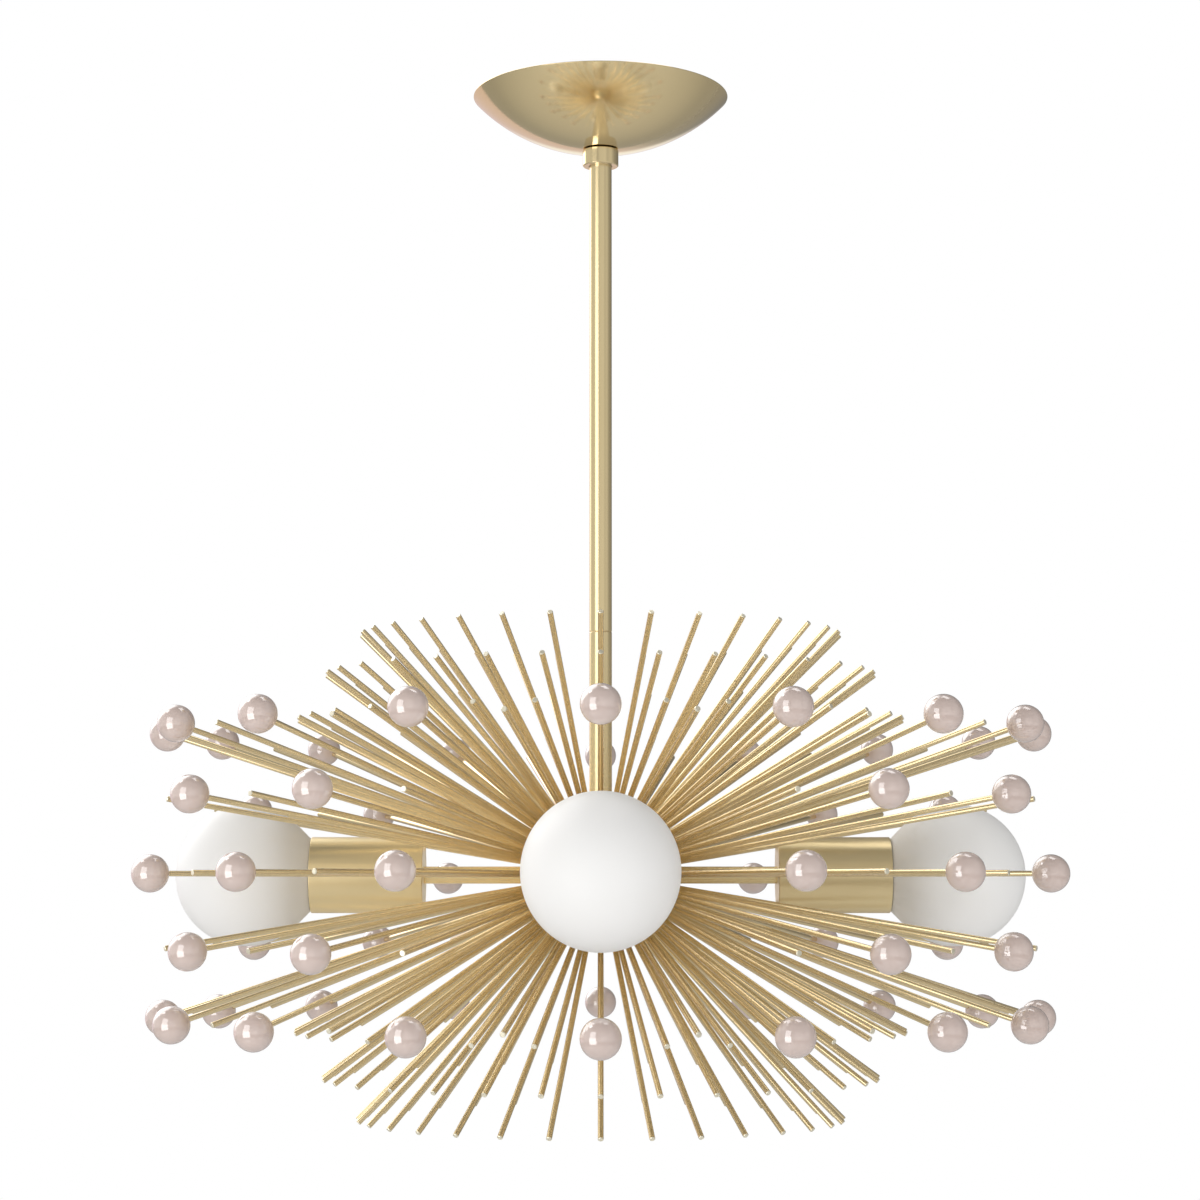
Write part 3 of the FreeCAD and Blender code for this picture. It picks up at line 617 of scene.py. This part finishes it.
def makeHub(radius, cavity, cavityTop, wire, stemHole, stemFoot, plugTop, slotWidth, slotLength,
            slotDepth):
    centre = Matrix.Translation((0, 0, -burstDepth * mm))
    outside = arcPoints(0, radius, -angleAt(cavity, radius), angleAt(stemHole, radius), 56)
    outside[0] += (0.25,)
    outside[-1] += (0.3,)
    ball = turned("hubBall", [*outside, (stemHole, stemFoot), (wire, stemFoot), (wire, cavityTop),
                              (cavity, cavityTop)], sides=112, place=centre)
    fit(ball, "fixture", "satin_brass", turnedBrass, "hub_ball")
    plugRadius = cavity - play
    face = arcPoints(0, radius, -90, -angleAt(plugRadius, radius), 10)
    face[-1] += (0.25,)
    plug = turned("hubPlug", [*face, (plugRadius, -plugTop), (0, -plugTop)], sides=72, place=centre)
    cutBy(plug, slotCutter(0, -burstDepth - radius, slotLength, slotWidth, slotDepth))
    fit(plug, "fixture", "satin_brass", turnedBrass, "hub_plug")


makeHub(**hubSizes)
print("hub made")


threadPitch = 3.62  # of the lamps and their sockets
threadRow = 0.4
threadFade = 2.0
socketSizes = {"armRadius": 4.75, "armBore": 3.5, "armStart": 14.0, "armEnd": 112.0,
               "cupRadius": 21.1, "cupWall": 0.9, "cupStart": 98.3, "cupEnd": 160.9, "cupFloor": 1.5,
               "hole": 4.8, "bodyRadius": 17.5, "bodyStart": 104.0, "bodyEnd": 151.0,
               "wireRadius": 3.0, "shellBore": 13.5, "shellWall": 0.5, "well": 14.05,
               "contactFloor": 126.53, "contactTop": 127.53, "contactRadius": 7.0,
               "buttonHeight": 0.4, "buttonFoot": 3.4, "buttonTop": 2.8, "threadDepth": 0.45}


def makeSocket(side, armRadius, armBore, armStart, armEnd, cupRadius, cupWall, cupStart, cupEnd, cupFloor,
               hole, bodyRadius, bodyStart, bodyEnd, wireRadius, shellBore, shellWall, well, contactFloor,
               contactTop, contactRadius, buttonHeight, buttonFoot, buttonTop, threadDepth):
    place = armPlace(side)
    arm = turned(side + "ArmTube", [
        (armBore, armStart), (armRadius, armStart, 0.2), (armRadius, armEnd, 0.2), (armBore, armEnd)],
        sides=48, place=place)
    fit(arm, "fixture", "satin_brass", drawnBrass, side + "_arm")
    inner = cupRadius - cupWall
    floor = cupStart + cupFloor
    cup = turned(side + "SocketCup", [
        (hole, cupStart, 0.2), (cupRadius, cupStart, 0.45), (cupRadius, cupEnd, 0.2),
        (inner, cupEnd, 0.2), (inner, floor, 0.4), (hole, floor, 0.2)], sides=128, place=place)
    fit(cup, "fixture", "satin_brass", cupBrass, side + "_cup")
    body = turned(side + "SocketBody", [
        (hole, bodyStart, 0.3), (bodyRadius, bodyStart, 1.2), (bodyRadius, bodyEnd, 0.8),
        (well, bodyEnd, 0.3), (well, contactFloor), (wireRadius, contactFloor, 0.3),
        (wireRadius, armEnd), (hole, armEnd)], place=place)
    fit(body, "fixture", "socket_ceramic", socketCeramic, side + "_insulator")
    outer = shellBore + shellWall
    thread = screwThread(contactFloor + 1, bodyEnd - 0.6, threadPitch, threadDepth, threadFade)

    def inside(radius, height, angle):
        return thread(radius, height, angle) if radius < outer - shellWall / 2 else 0.0

    shell = turned(side + "ScrewShell", [
        *stacked(shellBore, contactFloor, bodyEnd, threadRow), (outer, bodyEnd), (outer, contactFloor)],
        place=place, relief=inside)
    fit(shell, "fixture", "socket_metal", capMetal, side + "_screw_shell")
    contact = turned(side + "SocketContact", [
        (0, contactFloor), (contactRadius, contactFloor), (contactRadius, contactTop - buttonHeight, 0.2),
        (buttonFoot, contactTop - buttonHeight, 0.3), (buttonTop, contactTop, 0.3), (0, contactTop)],
        sides=48, place=place)
    fit(contact, "fixture", "socket_metal", plainBrass, side + "_contact")


lampSizes = {"globe": 39.4, "centre": 197.1, "wall": 1.0, "cap": 13.15, "neckEnd": 154.53, "flare": 1.2,
             "shoulder": 132.53, "taperEnd": 129.03, "taperRadius": 6.0, "shoulderRadius": 11.0,
             "tip": 127.83, "tipRadius": 4.5, "threadDepth": 0.75}


def makeLamp(side, globe, centre, wall, cap, neckEnd, flare, shoulder, taperEnd, taperRadius,
             shoulderRadius, tip, tipRadius, threadDepth):
    place = armPlace(side)
    opal = turned(side + "OpalGlobe", [
        *arcPoints(centre, globe, 90, -45, 46), (cap + flare, neckEnd + flare, 0.8), (cap, neckEnd),
        (cap - wall * math.sqrt(2), neckEnd), *arcPoints(centre, globe - wall, -45, 90, 34)],
        sides=96, place=place)
    fit(opal, side + "_lamp", "opal_glass", opalGlass, side + "_globe")
    base = turned(side + "LampCap", [
        (0, tip), (tipRadius, tip, 0.5), (tipRadius, taperEnd), (taperRadius, taperEnd, 0.5),
        (shoulderRadius, shoulder, 0.3), *stacked(cap, shoulder + 0.3, neckEnd - 2.4, threadRow),
        (cap, neckEnd - 0.2), (0, neckEnd)], place=place,
        relief=screwThread(shoulder + 0.6, neckEnd - 3.0, threadPitch, -threadDepth, threadFade))
    fit(base, side + "_lamp", "lamp_cap", (capMetal, capGlass), side + "_lamp_cap")
    # the glass between the tip and the shoulder
    spots = base.data.attributes["ownPlace"].data
    for face in base.data.polygons:
        reach = sum(spots[k].vector.z for k in face.vertices) / len(face.vertices)
        if taperEnd * mm + 1e-5 < reach < shoulder * mm:
            face.material_index = 1


for side in lampSides:
    makeSocket(side, **socketSizes)
    makeLamp(side, **lampSizes)
for node in ("arm_nuts", "stem_coupling"):
    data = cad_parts[node].data
    data.materials.clear()
    data.materials.append(plainBrass)
print("sockets and lamps made")


# the burst: rods and beads are laid out by rule
burstSizes = {
    "Places Round": 32, "Lamp Pitch": 8, "Ring Steps": 5, "Ring Step": 9.0, "Free Steps": 1,
    "Long Steps": 2, "Rod Radius": 1.5, "Chamfer": 0.28, "Seat Reach": 29.0, "Short Reach": 190.0,
    "Long Reach": 250.0, "Rod Sides": 14, "Bead Radius": 10.0, "Bead Reach": 255.0,
    "Bore Radius": 1.55, "Bead Sides": 32, "Bead Rows": 26, "Depth": burstDepth, "Seed": 7,
}
boreShare = -0.6  # of a bead's radius, to the first row down in its bore
poleGap = 0.02  # radians left open at a bead's far pole, which a cap closes
rodSharp, beadSharp = 50, 60  # edges that turn by more degrees stay sharp


def burstInputs():
    # counts are whole numbers, the step is in degrees, and all else is a length, here in metres
    rows = []
    for label, value in burstSizes.items():
        kind = "Int" if isinstance(value, int) else "Float"
        rows.append((label, kind, value if kind == "Int" or label == "Ring Step" else value * mm))
    return rows


def compare(first, operation, second):
    values = {0: first, 1: second}
    if operation == "EQUAL":
        values["Epsilon"] = 0.25
    return addNode(first.tree, "FunctionNodeCompare", values, operation=operation)


def both(first, operation, second):
    return addNode(first.tree, "FunctionNodeBooleanMath", {0: first, 1: second}, operation=operation)


def named(tree, name, kind="FLOAT"):
    return addNode(tree, "GeometryNodeInputNamedAttribute", {"Name": name}, data_type=kind)


def store(geometry, name, value, kind="FLOAT", domain="POINT"):
    return addNode(geometry.tree, "GeometryNodeStoreNamedAttribute",
                   {"Geometry": geometry, "Name": name, "Value": value}, data_type=kind, domain=domain)


def makeRingPoints():
    # one point for each rod, with its place round the ring, its step of elevation and its direction
    tree, get, made = newTree("ringPoints", "GeometryNodeTree", burstInputs(), [("Points", "Geometry")])
    around, pitch = get["Places Round"], get["Lamp Pitch"]
    points = addNode(tree, "GeometryNodePoints", {"Count": around * (get["Ring Steps"] * 2.0 + 1.0)})
    index = addNode(tree, "GeometryNodeInputIndex")
    place = index % around
    level = ((index + 0.5) / around).math("FLOOR") - get["Ring Steps"]
    azimuth = place / around * (2 * math.pi)
    elevation = (level * get["Ring Step"]).math("RADIANS")
    flat = elevation.math("COSINE")
    aim = combine(tree, X=azimuth.math("SINE") * flat, Y=azimuth.math("COSINE") * flat * -1.0,
                  Z=elevation.math("SINE"))
    points = store(points, "ringPlace", place)
    points = store(points, "ringLevel", level)
    points = store(points, "aim", aim, "FLOAT_VECTOR")
    # a lamp's own place and the one on either side stay free of rods near the level
    turn = named(tree, "ringPlace") % pitch
    nearLamp = both(compare(turn, "LESS_THAN", 1.5), "OR", compare(turn, "GREATER_THAN", pitch - 1.5))
    nearLevel = compare(named(tree, "ringLevel").math("ABSOLUTE"), "LESS_THAN", get["Free Steps"] + 0.5)
    kept = addNode(tree, "GeometryNodeDeleteGeometry",
                   {"Geometry": points, "Selection": both(nearLamp, "AND", nearLevel)}, domain="POINT")
    setInputs(made, {0: kept})
    return tree


def switchByRow(tree, values):
    # a number for each point of a curve, by its index
    node = tree.nodes.new("GeometryNodeIndexSwitch")
    node.data_type = "FLOAT"
    while len(node.index_switch_items) < len(values):
        node.index_switch_items.new()
    setInputs(node, dict(enumerate((addNode(tree, "GeometryNodeInputIndex"), *values))))
    return Value(tree, node.outputs[0])


def sweptBody(tree, rows, height, scale, sides):
    # a body of revolution along Z: the height and the radius are fields over the rows of its axis
    line = addNode(tree, "GeometryNodeCurvePrimitiveLine", {"End": (0, 0, 1)})
    axis = addNode(tree, "GeometryNodeResampleCurve", {"Curve": line, "Count": rows})
    place = combine(tree, Z=height)
    axis = addNode(tree, "GeometryNodeSetPosition", {"Geometry": axis, "Position": place})
    ring = addNode(tree, "GeometryNodeCurvePrimitiveCircle", {"Resolution": sides, "Radius": 1.0})
    return addNode(tree, "GeometryNodeCurveToMesh",
                   {"Curve": axis, "Profile Curve": ring, "Scale": scale, "Fill Caps": True})


def shadedOwn(mesh, sharp):
    # smooth but for its sharp edges, and with its own places kept for the grain to follow
    tree = mesh.tree
    edge = addNode(tree, "GeometryNodeInputMeshEdgeAngle")
    isSharp = compare(edge, "GREATER_THAN", math.radians(sharp))
    mesh = addNode(tree, "GeometryNodeSetShadeSmooth", {"Geometry": mesh, "Shade Smooth": True},
                   domain="FACE")
    mesh = addNode(tree, "GeometryNodeSetShadeSmooth",
                   {"Geometry": mesh, "Selection": isSharp, "Shade Smooth": False}, domain="EDGE")
    return store(mesh, "ownPlace", addNode(tree, "GeometryNodeInputPosition"), "FLOAT_VECTOR")


def startBurst(name, ringPoints):
    tree, get, made = newTree(
        name, "GeometryNodeTree", [("Mesh", "Geometry", None)] + burstInputs(), [("Mesh", "Geometry")])
    points = addNode(tree, "GeometryNodeGroup", {label: get[label] for label in burstSizes},
                     node_tree=ringPoints)
    return tree, get, made, points


def laidOut(points, chosen, piece, aim):
    turn = addNode(points.tree, "FunctionNodeAlignRotationToVector", {"Vector": aim}, axis="Z")
    return addNode(points.tree, "GeometryNodeInstanceOnPoints",
                   {"Points": points, "Selection": chosen, "Instance": piece, "Rotation": turn})


def finishBurst(get, made, instances, material):
    tree = get.tree
    real = addNode(tree, "GeometryNodeRealizeInstances", {"Geometry": instances})
    real = addNode(tree, "GeometryNodeTransform",
                   {"Geometry": real, "Translation": combine(tree, Z=get["Depth"] * -1.0)})
    final = addNode(tree, "GeometryNodeSetMaterial", {"Geometry": real, "Material": material})
    setInputs(made, {0: final})
    return tree


def makeRodTree(ringPoints):
    tree, get, made, points = startBurst("rodBurst", ringPoints)
    radius, chamfer = get["Rod Radius"], get["Chamfer"]
    isLong = compare(named(tree, "ringLevel").math("ABSOLUTE"), "LESS_THAN", get["Long Steps"] + 0.5)
    join = tree.nodes.new("GeometryNodeJoinGeometry")
    for reach, chosen in ((get["Long Reach"], isLong), (get["Short Reach"], both(isLong, "NOT", False))):
        shoulder = reach - chamfer
        height = switchByRow(tree, (get["Seat Reach"], shoulder - chamfer, shoulder, reach))
        scale = switchByRow(tree, (radius, radius, radius, radius - chamfer))
        rod = shadedOwn(sweptBody(tree, 4, height, scale, get["Rod Sides"]), rodSharp)
        along = separate(addNode(tree, "GeometryNodeInputPosition"))["Z"]
        # marks the chamfered end, which the rod material makes duller and paints paler, partly as a
        # painted highlight
        rod = store(rod, "rodEnd", compare(along, "GREATER_THAN", shoulder - chamfer * 0.5))
        setInputs(join, {0: laidOut(points, chosen, rod, named(tree, "aim", "FLOAT_VECTOR"))})
    # output 1 is the random number
    shade = addNode(tree, "FunctionNodeRandomValue", {"Seed": get["Seed"]})[1]
    shaded = store(Value(tree, join.outputs[0]), "rodShade", shade, domain="INSTANCE")
    return finishBurst(get, made, shaded, rodBrass)


def makeBeadTree(ringPoints):
    tree, get, made, points = startBurst("beadBurst", ringPoints)
    # counted from midway between two lamps: on the level the middle and the second on either side,
    # on the first rings the two beside the middle, on the second rings every other rod
    half = get["Lamp Pitch"] / 2.0
    offMiddle = (named(tree, "ringPlace") % get["Lamp Pitch"] - half).math("ABSOLUTE")
    even = compare(offMiddle % 2.0, "EQUAL", 0.0)
    rules = [both(even, "AND", compare(offMiddle, "LESS_THAN", 2.5)),
             compare(offMiddle, "EQUAL", 1.0), even]
    level = named(tree, "ringLevel").math("ABSOLUTE")
    level0, level1, level2 = [both(compare(level, "EQUAL", float(step)), "AND", rule)
                              for step, rule in enumerate(rules)]
    chosen = both(both(level0, "OR", level1), "OR", level2)
    # first row down in the bore, then its mouth, and on over the ball to the far pole
    radius = get["Bead Radius"]
    index = addNode(tree, "GeometryNodeInputIndex")
    mouth = (get["Bore Radius"] / radius).math("ARCSINE")
    share = ((index - 1.0) / (get["Bead Rows"] - 2.0)).math("MAXIMUM", 0.0)
    angle = share * (math.pi - poleGap - mouth) + mouth
    height = addNode(tree, "GeometryNodeSwitch",
                     {"Switch": compare(index, "LESS_THAN", 0.5), "True": radius * boreShare,
                      "False": radius * angle.math("COSINE") * -1.0}, input_type="FLOAT")
    scale = radius * angle.math("SINE")
    bead = shadedOwn(sweptBody(tree, get["Bead Rows"], height, scale, get["Bead Sides"]), beadSharp)
    aim = named(tree, "aim", "FLOAT_VECTOR")
    spot = addNode(tree, "ShaderNodeVectorMath", {0: aim, "Scale": get["Bead Reach"]}, operation="SCALE")
    points = addNode(tree, "GeometryNodeSetPosition", {"Geometry": points, "Position": spot})
    return finishBurst(get, made, laidOut(points, chosen, bead, aim), beadGlaze)


def grow(name, tree):
    # runs the tree on an empty mesh and keeps the result as a plain one
    seed = addObject(name + "Seed", bpy.data.meshes.new(name + "Seed"))
    modifier = seed.modifiers.new("layout", "NODES")
    modifier.node_group = tree
    values = {label: value for label, kind, value in burstInputs()}
    for item in tree.interface.items_tree:
        if item.item_type == "SOCKET" and item.in_out == "INPUT" and item.name in values:
            modifier[item.identifier] = values[item.name]
    depsgraph = bpy.context.evaluated_depsgraph_get()
    data = bpy.data.meshes.new_from_object(seed.evaluated_get(depsgraph))
    data.name = name
    seed.modifiers.remove(modifier)
    bpy.data.objects.remove(seed)
    print(name, len(data.polygons), "faces")
    return addObject(name, data)


ringPoints = makeRingPoints()
for name, makeTree, slotName, material, prefix in (
        ("rodBurst", makeRodTree, "satin_brass", rodBrass, "rods_"),
        ("beadBurst", makeBeadTree, "bead_glaze", beadGlaze, "beads_")):
    fit(grow(name, makeTree(ringPoints)), "fixture", slotName, material,
        *[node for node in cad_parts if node.startswith(prefix)])
print("burst made")


camera = {"lens": 85.0, "sensor": 36.0, "place": (-0.00034, -1.5865, -0.4579), "pitch": 6.047,
          "clipStart": 0.05, "clipEnd": 50}


def makeCamera():
    data = bpy.data.cameras.new("photoCamera")
    data.lens = camera["lens"]
    data.sensor_width = camera["sensor"]
    data.clip_start, data.clip_end = camera["clipStart"], camera["clipEnd"]
    eye = addObject("photoCamera", data)
    eye.location = camera["place"]
    eye.rotation_euler = (math.radians(90 + camera["pitch"]), 0, 0)
    bpy.context.scene.camera = eye


softboxes = {
    # azimuth right of the camera, elevation, distance, width, height, radiance, what it lights
    "keyLow": (-38, -12, 1.25, 0.78, 0.6, 2.5, "glossy diffuse"),
    "keyHigh": (-39, 16, 1.25, 0.66, 0.66, 1.6, "glossy diffuse"),
    "topBack": (134, 72, 2.2, 1.0, 0.65, 1.7, "glossy"),
    "topLeft": (-90, 52, 2.2, 0.45, 0.45, 2.4, "glossy"),
    "top": (150, 76, 2.2, 0.8, 0.8, 1.8, "diffuse"),
    "fill": (50, -12, 1.3, 0.64, 1.4, 1.8, "diffuse"),
}


def makeSoftboxes():
    target = Vector((0, 0, -burstDepth * mm))
    for name, (azimuth, elevation, distance, width, height, radiance, lights) in softboxes.items():
        data = bpy.data.lights.new(name, "AREA")
        data.shape = "RECTANGLE"
        data.size, data.size_y = width, height
        data.energy = radiance * math.pi * width * height
        azimuth, elevation = math.radians(azimuth), math.radians(elevation)
        way = Vector((math.sin(azimuth) * math.cos(elevation), -math.cos(azimuth) * math.cos(elevation),
                      math.sin(elevation)))
        box = addObject(name, data)
        box.location = target + way * distance
        box.rotation_euler = way.to_track_quat("Z", "Y").to_euler()
        box.visible_camera = False
        box.visible_glossy = "glossy" in lights
        box.visible_diffuse = "diffuse" in lights


room = {
    "level": 0.65, "least": 0.2,  # of the plain room around, and its darkest
    "glows": {
        # direction, cosine at the edge, cosine at full, gain
        "backLeft": ((-0.5, 0.8, 0.25), 0.76, 0.96, 0.8),
        "backLeftHigh": ((-0.55, 0.55, 0.63), 0.84, 0.95, 2.0),
        "backRight": ((0.76, 0.65, 0.0), 0.4, 0.92, -0.33),
        "backTop": ((0.0, 0.6, 0.8), 0.3, 0.95, -0.22),
        "frontTop": ((0.0, -0.6, 0.8), 0.3, 0.95, -0.26),
        "backHigh": ((-0.02, 0.94, 0.34), 0.955, 0.99, -0.35),
        "front": ((0.2, -0.95, 0.22), 0.84, 0.97, 0.22),
    },
    # haze low and high: sine of the elevation at its top edge and at full, and share of straight
    # behind at both edges
    "hazeLow": (0.09, 0.0, 0.2, 0.6), "hazeHigh": (0.3, 0.2, 0.78, 0.9),
    "hazeRight": 0.22, "hazeLeft": 0.0, "hazeLevel": 0.74, "hazeTint": (1.0, 0.84, 0.87),
    "backdropEdge": 0.98, "backdropFull": 0.998,  # how far behind metal and glaze see plain white
}


def makeWorld():
    # the camera sees plain white; metal and glaze see a bright backdrop behind and a dimmer room
    world = bpy.data.worlds.new("studio")
    world.use_nodes = True
    bpy.context.scene.world = world
    tree = world.node_tree
    way = addNode(tree, "ShaderNodeTexCoord")["Generated"]
    level = room["level"]
    for axis, edge, full, gain in room["glows"].values():
        facing = way.vector("DOT_PRODUCT", Vector(axis).normalized())["Value"]
        level = ramp(facing, edge, full, high=gain) + level
    part = separate(way)
    low, high = [ramp(part["Z"], top, foot) * ramp(part["Y"], side, middle)
                 for top, foot, side, middle in (room["hazeLow"], room["hazeHigh"])]
    haze = low.math("MAXIMUM", high) * ramp(part["X"], room["hazeRight"], room["hazeLeft"])
    light = addNode(tree, "ShaderNodeLightPath")
    mirrored = light["Is Glossy Ray"] * ramp(part["Y"], room["backdropEdge"], room["backdropFull"])
    seen = light["Is Camera Ray"].math("MAXIMUM", light["Is Transmission Ray"])
    direct = seen.math("MAXIMUM", mirrored)
    level = blend(haze, level.math("MAXIMUM", room["least"]), room["hazeLevel"])
    tint = blendColour(haze * (1.0 - direct), (1, 1, 1), room["hazeTint"])
    setInputs(tree.nodes["Background"], {"Strength": blend(direct, level, 1.0), "Color": tint})


floorLook = {
    "depth": -1.15, "radius": 3.6, "segments": 96, "rough": 0.9, "specular": 0.1,
    # the floor is painted lighter near the middle than further out, a painted pool of light
    "near": (0.67, 0.67, 0.67), "far": (0.5, 0.5, 0.5), "fadeStart": 0.9, "fadeEnd": 2.6,
    "white": 0.12,  # share of plain white that metal and glaze see close by, a painted glow on the floor
    "seenWhite": 0.55, "clearStart": 0.5, "clearEnd": 1.2,  # and that the camera sees, up to all of it
}


def makeFloor():
    look = floorLook
    mesh = bmesh.new()
    bmesh.ops.create_circle(mesh, cap_ends=True, segments=look["segments"], radius=look["radius"])
    floor = newPiece("studioFloor", mesh, Matrix.Translation((0, 0, look["depth"])))
    material, tree, shader = newMaterial("paleFloor")
    out = addNode(tree, "ShaderNodeTexCoord")["Object"].vector("LENGTH")["Value"]
    # lighter near the middle and darker further out: a painted pool of light
    fade = ramp(out, look["fadeStart"], look["fadeEnd"])
    clearing = ramp(out, look["clearStart"], look["clearEnd"])
    setInputs(shader, {"Base Color": blendColour(fade, look["near"], look["far"]),
                       "Roughness": look["rough"], "Specular IOR Level": look["specular"]})
    light = addNode(tree, "ShaderNodeLightPath")
    seen = light["Is Camera Ray"].math("MAXIMUM", light["Is Transmission Ray"])
    seen = seen * (clearing * (1 - look["seenWhite"]) + look["seenWhite"])
    # close by, metal and glaze see a painted white glow on the floor
    mirrored = light["Is Glossy Ray"] * (fade * -look["white"] + look["white"])
    glow = addNode(tree, "ShaderNodeEmission", {"Color": (1, 1, 1, 1), "Strength": 1.0})
    lit = Value(tree, shader.outputs[0])
    mixed = addNode(tree, "ShaderNodeMixShader", {0: seen.math("MAXIMUM", mirrored), 1: lit, 2: glow})
    # looked at from below, the floor is clear
    under = addNode(tree, "ShaderNodeNewGeometry")["Backfacing"]
    clear = addNode(tree, "ShaderNodeBsdfTransparent")
    mixed = addNode(tree, "ShaderNodeMixShader", {0: under, 1: mixed, 2: clear})
    setInputs(tree.nodes["Material Output"], {"Surface": mixed})
    floor.data.materials.append(material)


makeCamera()
makeSoftboxes()
makeWorld()
makeFloor()
bpy.context.scene.view_settings.view_transform = "Standard"
print("camera and studio made")
